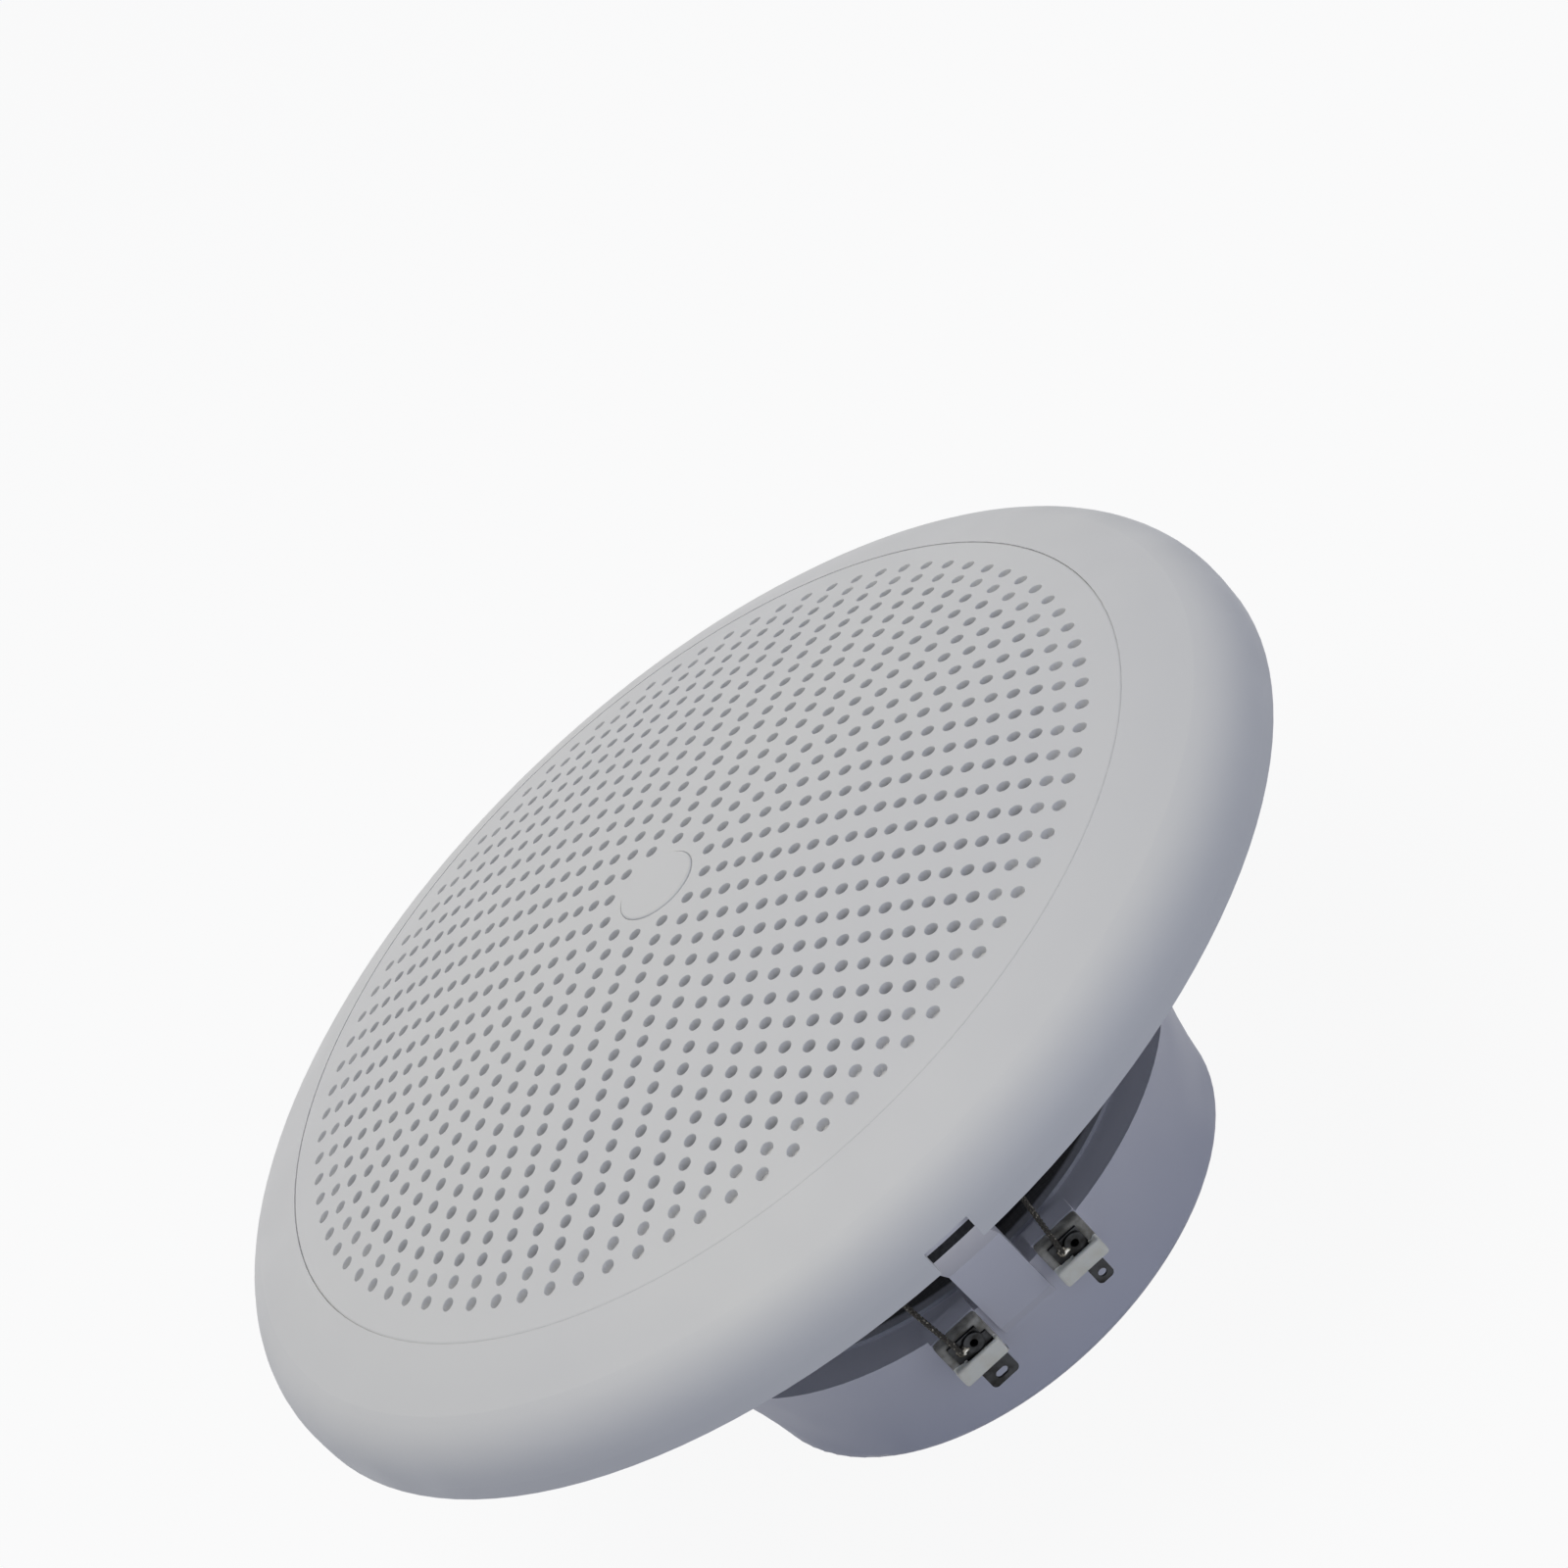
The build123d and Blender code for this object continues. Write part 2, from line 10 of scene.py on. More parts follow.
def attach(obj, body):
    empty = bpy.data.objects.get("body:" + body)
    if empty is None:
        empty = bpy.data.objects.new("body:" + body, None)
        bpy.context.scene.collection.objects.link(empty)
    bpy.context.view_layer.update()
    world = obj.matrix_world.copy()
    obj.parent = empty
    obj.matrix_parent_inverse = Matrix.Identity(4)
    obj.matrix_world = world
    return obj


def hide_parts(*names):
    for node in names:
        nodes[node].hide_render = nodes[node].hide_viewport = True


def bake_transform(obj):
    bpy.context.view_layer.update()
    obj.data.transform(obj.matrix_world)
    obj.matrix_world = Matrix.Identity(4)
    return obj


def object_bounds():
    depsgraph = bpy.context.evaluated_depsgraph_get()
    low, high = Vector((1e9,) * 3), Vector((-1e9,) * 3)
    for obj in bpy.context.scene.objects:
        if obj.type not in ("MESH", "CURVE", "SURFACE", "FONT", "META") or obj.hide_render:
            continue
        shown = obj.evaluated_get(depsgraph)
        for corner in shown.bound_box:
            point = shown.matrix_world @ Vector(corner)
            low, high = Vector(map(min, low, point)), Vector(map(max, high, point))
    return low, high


# Round in-ceiling loudspeaker dressed over its CAD model. Lengths are in metres, in that model's frame.

MM = 0.001

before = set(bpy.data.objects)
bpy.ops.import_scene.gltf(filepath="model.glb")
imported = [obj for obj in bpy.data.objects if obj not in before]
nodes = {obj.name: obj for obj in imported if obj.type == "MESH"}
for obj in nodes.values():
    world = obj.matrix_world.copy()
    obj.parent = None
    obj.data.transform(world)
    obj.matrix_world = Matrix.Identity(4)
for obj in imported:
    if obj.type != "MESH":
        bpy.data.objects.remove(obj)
cad_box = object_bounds()

# Sizes repeated from the CAD source

grille_radius = 74.75 * MM
grille_edge_z = 15.0 * MM
grille_crown = 8.6 * MM
grille_thickness = 2.0 * MM
grille_rim_bore = 70.75 * MM
centre_disc_radius = 6.3 * MM
centre_disc_rise = 0.3 * MM
surround_inner_radius = 57.1 * MM
surround_outer_radius = 72.1 * MM
surround_roll_inner = 60.1 * MM
surround_roll_outer = 67.7 * MM
surround_base_z = 5.0 * MM
surround_thickness = 0.7 * MM
spider_z = -36.0 * MM
spider_neck_radius = 13.3 * MM
spider_neck_height = 2.4 * MM
spider_flat_width = 1.6 * MM
spider_wave_end = 36.0 * MM
spider_radius = 40.2 * MM
spider_thickness = 0.6 * MM
spider_wave_height = 1.8 * MM
spider_wave_count = 3
tag_face_y = -49.9 * MM
terminal_x = 9.9 * MM
terminal_shift = -0.7 * MM
right_terminal_rise = 1.0 * MM
rivet_z = -37.25 * MM
terminal_bar_top = -39.0 * MM
lead_radius = 0.45 * MM
lead_joint_shift = 1.2 * MM
lead_joint_y = -50.45 * MM
lead_drift = 1.1 * MM
lead_rise = 10.0 * MM
lead_attach_radius = 41.0 * MM
lead_attach_z = -6.6 * MM


# Places of the two terminals, left and right of the arm

terminal_sides = {"left": -1, "right": 1}


def terminal_middle(side):
    return side * terminal_x + terminal_shift


def terminal_height(side):
    """Height of a terminal's rivet and lead joint."""
    return rivet_z + (right_terminal_rise if side > 0 else 0)


# Mesh helpers

def link_piece(name, mesh):
    """New object for a mesh, with smooth faces."""
    mesh.shade_smooth()
    piece = bpy.data.objects.new(name, mesh)
    bpy.context.scene.collection.objects.link(piece)
    return piece


def link_mesh(name, points, faces):
    """New object from points and faces."""
    mesh = bpy.data.meshes.new(name)
    mesh.from_pydata([tuple(point) for point in points], [], faces)
    return link_piece(name, mesh)


def link_shape(name, shape):
    """New object from a bmesh, which is freed."""
    mesh = bpy.data.meshes.new(name)
    shape.to_mesh(mesh)
    shape.free()
    return link_piece(name, mesh)


def ring_points(radius, z, count, start=0.0):
    """Points evenly round the Z axis."""
    turns = [start + 2 * math.pi * number / count for number in range(count)]
    return [(radius * math.cos(turn), radius * math.sin(turn), z) for turn in turns]


def arc(centre, radius, start_deg, end_deg, steps):
    """Points of an arc in a section of radius and height."""
    angles = np.radians(np.linspace(start_deg, end_deg, steps + 1))
    return [(centre[0] + radius * math.cos(a), centre[1] + radius * math.sin(a)) for a in angles]


def lathe(name, section, segments, sharp_deg=40):
    """Closed section of radius and height turned about Z, with smooth faces between sharp edges."""
    points = []
    for radius, z in section:
        points += ring_points(radius, z, segments)
    faces = []
    count = len(section)
    for row in range(count):
        after = (row + 1) % count
        for step in range(segments):
            turn = (step + 1) % segments
            low, high = row * segments, after * segments
            faces.append((low + step, low + turn, high + turn, high + step))
    piece = link_mesh(name, points, faces)
    shape = bmesh.new()
    shape.from_mesh(piece.data)
    bmesh.ops.recalc_face_normals(shape, faces=shape.faces)
    shape.to_mesh(piece.data)
    shape.free()
    piece.data.set_sharp_from_angle(angle=math.radians(sharp_deg))
    return piece


def blend_by_radius(piece):
    """Bake a round piece's transform into its mesh."""
    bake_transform(piece)


# Material helpers

# Colour sockets of the Mix node
MIX_FIRST = 6
MIX_SECOND = 7
MIX_RESULT = 2

# Range in which most values of a noise lie
noise_range = (0.3, 0.7)


class Finish:
    """A procedural material: a Principled shader and the detail that is laid over it."""

    def __init__(self, name, roughness, metallic=0.0, specular=0.5):
        self.material = bpy.data.materials.new(name)
        self.material.use_nodes = True
        self.tree = self.material.node_tree
        self.shader = self.tree.nodes["Principled BSDF"]
        self.shader.inputs["Roughness"].default_value = roughness
        self.shader.inputs["Metallic"].default_value = metallic
        self.shader.inputs["Specular IOR Level"].default_value = specular
        self.place = self.tree.nodes.new("ShaderNodeTexCoord").outputs["Object"]
        self.bump = None

    def node(self, kind, **settings):
        made = self.tree.nodes.new(kind)
        for key, value in settings.items():
            setattr(made, key, value)
        return made

    def texture(self, kind, scale, **settings):
        """Texture in object space; scale is in cells a metre."""
        made = self.node(kind, **settings)
        made.inputs["Scale"].default_value = scale
        self.tree.links.new(self.place, made.inputs["Vector"])
        return made

    def noise(self, scale, detail=2.0, rough=0.5):
        made = self.texture("ShaderNodeTexNoise", scale)
        made.inputs["Detail"].default_value = detail
        made.inputs["Roughness"].default_value = rough
        return made.outputs["Fac"]

    def spread(self, value, low, high, out_low=0.0, out_high=1.0):
        """Value stretched from one range to another and kept inside it."""
        made = self.node("ShaderNodeMapRange")
        limits = {"From Min": low, "From Max": high, "To Min": out_low, "To Max": out_high}
        for key, number in limits.items():
            made.inputs[key].default_value = number
        self.tree.links.new(value, made.inputs["Value"])
        return made.outputs["Result"]

    def mix(self, share, first, second):
        """Mix of two colours, either of which can be a socket."""
        made = self.node("ShaderNodeMix", data_type="RGBA")
        self.tree.links.new(share, made.inputs["Factor"])
        for socket, colour in ((made.inputs[MIX_FIRST], first), (made.inputs[MIX_SECOND], second)):
            if isinstance(colour, bpy.types.NodeSocket):
                self.tree.links.new(colour, socket)
            else:
                socket.default_value = (*colour, 1.0)
        return made.outputs[MIX_RESULT]

    def math(self, operation, first, second):
        """Two values put together."""
        made = self.node("ShaderNodeMath", operation=operation)
        for socket, value in zip(made.inputs, (first, second)):
            self.tree.links.new(value, socket)
        return made.outputs[0]

    def spot(self, centre, inner, outer):
        """1 within a distance of a point and 0 beyond a larger one."""
        made = self.node("ShaderNodeVectorMath", operation="DISTANCE")
        self.tree.links.new(self.place, made.inputs[0])
        made.inputs[1].default_value = centre
        return self.spread(made.outputs["Value"], outer, inner)

    def terminal_spots(self, place, inner, outer):
        """1 near a place on either terminal, which is given as a function of the side."""
        shares = [self.spot(place(side), inner, outer) for side in terminal_sides.values()]
        return self.math("MAXIMUM", *shares)

    def axis_distance(self):
        """Distance from the Z axis."""
        flat = self.node("ShaderNodeVectorMath", operation="MULTIPLY")
        self.tree.links.new(self.place, flat.inputs[0])
        flat.inputs[1].default_value = (1.0, 1.0, 0.0)
        made = self.node("ShaderNodeVectorMath", operation="LENGTH")
        self.tree.links.new(flat.outputs["Vector"], made.inputs[0])
        return made.outputs["Value"]

    def paint(self, colour):
        self.tree.links.new(colour, self.shader.inputs["Base Color"])
        return self

    def mottled(self, first, second, scale, detail=3.0, low=0.35, high=0.65):
        """Base colour that drifts between two close tones."""
        share = self.spread(self.noise(scale, detail), low, high)
        return self.paint(self.mix(share, first, second))

    def rough(self, scale, low, high, detail=2.0):
        """Roughness that varies over the surface."""
        value = self.spread(self.noise(scale, detail), *noise_range, low, high)
        self.tree.links.new(value, self.shader.inputs["Roughness"])
        return self

    def grain(self, value, strength, height):
        """Bump from a value, over any bump that is there already."""
        made = self.node("ShaderNodeBump")
        made.inputs["Strength"].default_value = strength
        made.inputs["Distance"].default_value = height
        self.tree.links.new(value, made.inputs["Height"])
        if self.bump:
            self.tree.links.new(self.bump, made.inputs["Normal"])
        self.bump = made.outputs["Normal"]
        self.tree.links.new(self.bump, self.shader.inputs["Normal"])
        return self


def moulded_plastic(name, tone, tint, roughness):
    """Satin moulding: faint flow tones, slightly uneven gloss, fine spark grain and faint waves."""
    finish = Finish(name, roughness, specular=0.35)
    finish.mottled(tone, tint, scale=14.0)
    finish.rough(scale=90.0, low=roughness - 0.05, high=roughness + 0.06)
    finish.grain(finish.noise(scale=1500.0, detail=3.0, rough=0.6), strength=0.12, height=0.05 * MM)
    finish.grain(finish.noise(scale=60.0, detail=1.0), strength=0.06, height=0.4 * MM)
    return finish.material


def dull_metal(name, tone, stain, roughness, scratch=0.15):
    """Plated or tinned metal with dull patches and fine scratches."""
    finish = Finish(name, roughness, metallic=1.0)
    finish.mottled(tone, stain, scale=450.0, detail=4.0, low=0.4, high=0.62)
    finish.rough(scale=900.0, low=roughness - 0.08, high=roughness + 0.12, detail=3.0)
    finish.grain(finish.noise(scale=2600.0, detail=3.0, rough=0.6), strength=scratch, height=0.03 * MM)
    return finish.material


def ivory_finish(name, roughness, specular):
    """Slightly translucent plastic with a fine grain."""
    finish = Finish(name, roughness, specular=specular)
    finish.shader.inputs["Subsurface Weight"].default_value = 0.25
    finish.shader.inputs["Subsurface Radius"].default_value = (2.0 * MM, 1.8 * MM, 1.4 * MM)
    finish.grain(finish.noise(scale=1800.0), strength=0.12, height=0.04 * MM)
    return finish


# Materials

burn_inner = 1.0 * MM
burn_outer = 3.2 * MM
# Radii over which the spider cloth turns from dark to pale grey
pale_rim_start = 38.2 * MM
pale_rim_full = 38.8 * MM
solder_bulge = 0.75 * MM
# Offset and size of the highlight painted into the colour of each drop of solder
painted_glint_shift = 0.6 * MM
painted_glint_drop = 0.3 * MM
painted_glint_inner = 0.2 * MM
painted_glint_outer = 0.6 * MM


def make_bar_plastic():
    """Clean glossy ivory of the terminal bars."""
    bar = ivory_finish("ivory_bar", roughness=0.32, specular=0.8)
    bar.mottled((0.95, 0.93, 0.80), (0.88, 0.84, 0.69), scale=420.0, detail=4.0, low=0.42, high=0.68)
    return bar.material


def make_plate_plastic():
    """Ivory of the plates above the bars, stained with flux and burnt round the rivets."""
    pale_stain = (0.50, 0.48, 0.42)
    dark_stain = (0.26, 0.245, 0.20)
    burnt = (0.022, 0.021, 0.018)
    plate = ivory_finish("ivory_plate", roughness=0.6, specular=0.15)
    cloud = plate.spread(plate.noise(scale=700.0, detail=3.0), low=0.3, high=0.62)
    stain = plate.mix(cloud, pale_stain, dark_stain)
    burn = plate.terminal_spots(
        lambda side: (terminal_middle(side), tag_face_y, terminal_height(side)), burn_inner, burn_outer
    )
    return plate.paint(plate.mix(burn, stain, burnt)).material


def make_foam():
    """Closed-cell foam with open cells on its cut faces."""
    foam = Finish("closed_cell_foam", roughness=0.9, specular=0.2)
    foam.mottled((0.024, 0.025, 0.027), (0.042, 0.042, 0.044), scale=1600.0)
    cells = foam.texture("ShaderNodeTexVoronoi", scale=1500.0)
    return foam.grain(cells.outputs["Distance"], strength=0.6, height=0.2 * MM).material


def make_rubber():
    rubber = Finish("surround_rubber", roughness=0.62, specular=0.4)
    rubber.mottled((0.03, 0.03, 0.031), (0.045, 0.045, 0.045), scale=80.0)
    return rubber.grain(rubber.noise(scale=2200.0), strength=0.2, height=0.05 * MM).material


def make_film():
    """Pressed plastic film of the cone."""
    film = Finish("cone_film", roughness=0.48)
    film.mottled((0.075, 0.075, 0.08), (0.11, 0.11, 0.115), scale=120.0)
    film.rough(scale=300.0, low=0.4, high=0.58)
    film.grain(film.noise(scale=1400.0, detail=3.0, rough=0.7), strength=0.25, height=0.08 * MM)
    return film.material


def make_cloth():
    """Dark plain-woven cloth that turns pale grey outward of a radius, on its flat rim."""
    gap_tone = (0.045, 0.045, 0.05)
    first_tone = (0.06, 0.06, 0.065)
    second_tone = (0.07, 0.07, 0.075)
    pale_rim_tone = (0.45, 0.45, 0.47)
    cloth = Finish("spider_cloth", roughness=0.8, specular=0.25)
    threads = []
    for direction in ("X", "Y"):
        wave = cloth.texture("ShaderNodeTexWave", scale=420.0, bands_direction=direction)
        wave.inputs["Distortion"].default_value = 0.6
        wave.inputs["Detail"].default_value = 1.0
        threads.append(wave.outputs["Fac"])
    weave = cloth.math("MULTIPLY", *threads)
    cloth.grain(weave, strength=0.3, height=0.08 * MM)
    tone = cloth.mix(cloth.spread(cloth.noise(scale=60.0), low=0.35, high=0.65), first_tone, second_tone)
    dark = cloth.mix(weave, gap_tone, tone)
    # Pale grey from a radius outward, over the dark cloth
    pale_rim = cloth.spread(cloth.axis_distance(), pale_rim_start, pale_rim_full)
    return cloth.paint(cloth.mix(pale_rim, dark, pale_rim_tone)).material


def painted_glint_place(side):
    """Point on a drop of solder where a highlight is painted into the colour."""
    x = terminal_middle(side) - lead_joint_shift + painted_glint_shift
    return (x, tag_face_y - solder_bulge, terminal_height(side) - painted_glint_drop)


def make_solder():
    """Solder dark with flux, with a painted highlight: a bright spot in the colour of each drop."""
    flux_tone = (0.05, 0.047, 0.04)
    dull_tone = (0.16, 0.15, 0.13)
    painted_highlight_tone = (0.88, 0.87, 0.83)
    solder = Finish("solder", roughness=0.22, metallic=1.0)
    # Painted highlight: a bright spot laid into the solder's colour, standing in for a glint
    painted_glint = solder.terminal_spots(painted_glint_place, painted_glint_inner, painted_glint_outer)
    cloud = solder.spread(solder.noise(scale=900.0, detail=3.0), low=0.4, high=0.6)
    dark = solder.mix(cloud, flux_tone, dull_tone)
    solder.paint(solder.mix(painted_glint, dark, painted_highlight_tone))
    return solder.grain(solder.noise(scale=1500.0), strength=0.2, height=0.05 * MM).material


def make_winding():
    """Turns of enamelled copper wire."""
    wire = Finish("winding_copper", roughness=0.32, metallic=1.0)
    turns = wire.texture("ShaderNodeTexWave", scale=1300.0, bands_direction="Z").outputs["Fac"]
    wire.paint(wire.mix(turns, (0.36, 0.15, 0.07), (0.78, 0.42, 0.24)))
    return wire.grain(turns, strength=0.8, height=0.12 * MM).material


def make_ferrite():
    stone = Finish("ferrite", roughness=0.7, specular=0.3)
    stone.mottled((0.06, 0.06, 0.062), (0.11, 0.11, 0.11), scale=700.0, detail=5.0)
    stone.grain(stone.noise(scale=1800.0, detail=4.0, rough=0.7), strength=0.4, height=0.1 * MM)
    return stone.material


def make_braid():
    """Dark tinsel strands with bright flecks."""
    braid = Finish("lead_braid", roughness=0.45, metallic=0.6)
    fleck = braid.spread(braid.noise(scale=2600.0), low=0.6, high=0.7)
    braid.paint(braid.mix(fleck, (0.032, 0.03, 0.027), (0.34, 0.32, 0.28)))
    return braid.grain(braid.noise(scale=5200.0), strength=0.3, height=0.04 * MM).material


shell_plastic = moulded_plastic("shell_plastic", (0.705, 0.705, 0.70), (0.69, 0.69, 0.695), roughness=0.5)
frame_plastic = moulded_plastic("frame_plastic", (0.77, 0.76, 0.80), (0.75, 0.745, 0.785), roughness=0.52)
black_plastic = moulded_plastic("black_plastic", (0.045, 0.045, 0.047), (0.06, 0.06, 0.06), roughness=0.55)
plated_steel = dull_metal("plated_steel", (0.62, 0.62, 0.63), (0.52, 0.52, 0.54), roughness=0.36)
bare_aluminium = dull_metal(
    "bare_aluminium", (0.72, 0.73, 0.75), (0.68, 0.69, 0.71), roughness=0.4, scratch=0.03
)
tag_metal = dull_metal("tag_metal", (0.05, 0.052, 0.056), (0.02, 0.02, 0.02), roughness=0.42)
bar_plastic = make_bar_plastic()
plate_plastic = make_plate_plastic()
gasket_foam = make_foam()
surround_rubber = make_rubber()
cone_film = make_film()
spider_cloth = make_cloth()
solder_metal = make_solder()
winding_copper = make_winding()
ferrite = make_ferrite()
lead_braid = make_braid()


def dress(piece, material):
    """Give a piece one material in place of what it had."""
    piece.data.materials.clear()
    piece.data.materials.append(material)


node_materials = {
    "bezel_ring": shell_plastic,
    "basket": frame_plastic,
    "rear_cap": frame_plastic,
    "flange_gasket": gasket_foam,
    "surround_clamp_ring": black_plastic,
    "cone": cone_film,
    "dust_cap": cone_film,
    "voice_coil_former": bare_aluminium,
    "voice_coil": winding_copper,
    "top_plate": plated_steel,
    "magnet": ferrite,
    "pole_yoke": plated_steel,
    "motor_screws": plated_steel,
}
for node_name, node_material in node_materials.items():
    dress(nodes[node_name], node_material)


# Grille: a domed sheet with rings of small round holes, the last two rings blind

hole_radius = 1.0 * MM
hole_edge_round = 0.12 * MM
hole_segments = 16
hole_ring_count = 19
through_ring_count = 17
first_hole_ring = 9.44 * MM
hole_ring_pitch = 3.314 * MM
first_ring_holes = 12
holes_added_per_ring = 4
hole_pattern_angle = math.radians(45)
mouth_lean = 0.35
blind_depth = 1.3 * MM
rim_segments = 288
rim_fit = 0.13 * MM
rim_round = 0.5 * MM
rim_round_steps = 4
disc_segments = 64
disc_round = 0.2 * MM
groove_width = 0.3 * MM
groove_depth = 0.1 * MM
same_point = 1e-9

sheet_radius = grille_radius + rim_fit
dome_radius = (grille_radius**2 + grille_crown**2) / (2 * grille_crown)
dome_centre_z = grille_edge_z + grille_crown - dome_radius


def dome_height(x, y, depth=0.0):
    """Height of the dome, or of the sphere at a depth below it."""
    return dome_centre_z + math.sqrt((dome_radius - depth) ** 2 - x * x - y * y)


def dome_normal(x, y):
    return Vector((x, y, dome_height(x, y) - dome_centre_z)).normalized()


class Shell:
    """Points with their own normals, and faces, of a mesh that is built piece by piece."""

    def __init__(self):
        self.points = []
        self.normals = []
        self.faces = []

    def add(self, point, normal):
        self.points.append(Vector(point))
        self.normals.append(Vector(normal).normalized())
        return len(self.points) - 1

    def on_dome(self, outline, depth=0.0):
        """Points of a flat outline put on the dome or at a depth below it."""
        return [self.add((x, y, dome_height(x, y, depth)), dome_normal(x, y)) for x, y in outline]

    def band(self, upper, lower):
        """Faces between two closed rows of points."""
        count = len(upper)
        for step in range(count):
            turn = (step + 1) % count
            self.faces.append((upper[step], lower[step], lower[turn], upper[turn]))

    def made(self, name):
        piece = link_mesh(name, self.points, self.faces)
        piece.data.normals_split_custom_set_from_vertices([tuple(normal) for normal in self.normals])
        return piece


def hole_places():
    """Centre of every hole and whether it goes through."""
    places = []
    for number in range(hole_ring_count):
        ring_radius = first_hole_ring + number * hole_ring_pitch
        count = first_ring_holes + number * holes_added_per_ring
        for x, y, _ in ring_points(ring_radius, 0.0, count, hole_pattern_angle):
            places.append((x, y, number < through_ring_count))
    return places


def circle(x, y, radius, count):
    return [(x + px, y + py) for px, py, _ in ring_points(radius, 0.0, count)]


def perforated_triangles(loops, rim):
    """Triangles of a plate inside a rim, without those that fill one of its round holes."""
    flat = [point for loop in loops for point in loop]
    owner = [number for number, loop in enumerate(loops) for _ in loop]
    flat += rim
    owner += [-1] * len(rim)
    points = [Vector(point) for point in flat]
    _, _, triangles, sources, _, _ = delaunay_2d_cdt(points, [], [], 0, same_point)
    kept = []
    for triangle in triangles:
        corners = [sources[corner][0] for corner in triangle]
        owners = {owner[corner] for corner in corners}
        if len(owners) > 1 or owners == {-1}:
            kept.append(tuple(corners))
    return kept


def add_front(shell, places):
    """Front sheet from the centre disc to the rounded rim, and the rows of points along its edges."""
    lip = hole_radius + hole_edge_round
    loops = [circle(x, y, lip, hole_segments) for x, y, _ in places]
    loops.append(circle(0, 0, centre_disc_radius + groove_width, disc_segments))
    rim = circle(0, 0, sheet_radius - rim_round, rim_segments)
    shell.faces += perforated_triangles(loops, rim)
    *mouths, groove_edge = [shell.on_dome(loop) for loop in loops]
    return mouths, groove_edge, shell.on_dome(rim)


def add_holes(shell, places, mouths):
    """Walls of the holes with a small round at the mouth, and the outlines of those that go through."""
    outlines = []
    for (x, y, through), mouth in zip(places, mouths):
        upper, lower = [], []
        ring = circle(x, y, hole_radius, hole_segments)
        depth = grille_thickness if through else blind_depth
        for px, py in ring:
            inward = Vector((x - px, y - py, 0)).normalized()
            mouth_normal = inward + mouth_lean * dome_normal(px, py)
            upper.append(shell.add((px, py, dome_height(px, py) - hole_edge_round), mouth_normal))
            lower.append(shell.add((px, py, dome_height(px, py, depth)), inward))
        shell.band(upper, mouth)
        shell.band(lower, upper)
        if through:
            outlines.append(ring)
        else:
            shell.faces.append(tuple(shell.on_dome(ring, blind_depth)))
    return outlines


def add_centre_disc(shell, groove_edge):
    """Raised disc in the centre, in a hairline groove."""
    disc_top = [
        shell.add((x, y, dome_height(x, y) + centre_disc_rise), dome_normal(x, y))
        for x, y in circle(0, 0, centre_disc_radius - disc_round, disc_segments)
    ]
    disc_side = [
        shell.add((x, y, dome_height(x, y) + centre_disc_rise - disc_round), (x, y, centre_disc_radius))
        for x, y in circle(0, 0, centre_disc_radius, disc_segments)
    ]
    groove_floor = circle(0, 0, centre_disc_radius + groove_width / 2, disc_segments)
    inner_wall = [shell.add((x, y, dome_height(x, y, groove_depth)), (x, y, 0)) for x, y in groove_floor]
    outer_wall = [shell.add((x, y, dome_height(x, y, groove_depth)), (-x, -y, 0)) for x, y in groove_floor]
    shell.band(disc_top, disc_side)
    shell.band(disc_side, inner_wall)
    shell.band(outer_wall, groove_edge)
    middle = shell.add((0, 0, dome_height(0, 0) + centre_disc_rise), (0, 0, 1))
    for step in range(disc_segments):
        shell.faces.append((middle, disc_top[step], disc_top[(step + 1) % disc_segments]))


def add_back(shell, outlines):
    """Back sheet inside the rim."""
    inner_rim = circle(0, 0, grille_rim_bore, rim_segments)
    first = len(shell.points)
    for loop in outlines + [inner_rim]:
        for x, y in loop:
            shell.add((x, y, dome_height(x, y, grille_thickness)), -dome_normal(x, y))
    for triangle in perforated_triangles(outlines, inner_rim):
        shell.faces.append(tuple(first + corner for corner in reversed(triangle)))


def rim_row(shell, radius, z, outward, up):
    """Points round the rim whose normals lean outward and up by the given shares."""
    return [
        shell.add((x, y, z), (outward * x / radius, outward * y / radius, up))
        for x, y in circle(0, 0, radius, rim_segments)
    ]


def add_rim(shell, front_rim):
    """Round at the edge of the front sheet, and the walls that stand on the bezel's ledge."""
    rim_top_z = dome_height(sheet_radius - rim_round, 0)
    joint_z = grille_edge_z - rim_round
    row = front_rim
    for step in range(1, rim_round_steps + 1):
        turn = math.pi / 2 * step / rim_round_steps
        radius = sheet_radius - rim_round * (1 - math.sin(turn))
        z = joint_z + (rim_top_z - joint_z) * math.cos(turn)
        rounded = rim_row(shell, radius, z, math.sin(turn), math.cos(turn))
        shell.band(row, rounded)
        row = rounded
    ledge_z = grille_edge_z - grille_thickness
    inner_z = dome_height(grille_rim_bore, 0, grille_thickness)
    rim_walls = [
        ((sheet_radius, joint_z), (sheet_radius, ledge_z), (1, 0)),
        ((sheet_radius, ledge_z), (grille_rim_bore, ledge_z), (0, -1)),
        ((grille_rim_bore, ledge_z), (grille_rim_bore, inner_z), (-1, 0)),
    ]
    for start_place, end_place, facing in rim_walls:
        shell.band(rim_row(shell, *start_place, *facing), rim_row(shell, *end_place, *facing))


def make_grille():
    shell = Shell()
    places = hole_places()
    mouths, groove_edge, front_rim = add_front(shell, places)
    outlines = add_holes(shell, places, mouths)
    add_centre_disc(shell, groove_edge)
    add_back(shell, outlines)
    add_rim(shell, front_rim)
    return shell.made("grille_sheet")


grille_sheet = make_grille()
dress(grille_sheet, shell_plastic)
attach(grille_sheet, "chassis")
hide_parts("grille")


# Terminal blocks, tags and rivets with their edges rounded

block_edge = 0.45 * MM
plate_step = 0.05 * MM
tag_edge = 0.1 * MM
edge_steps = 2
edge_profile = 0.5
flat_angle = math.radians(1)
sharp_edge = math.radians(30)
weld_distance = 0.001 * MM


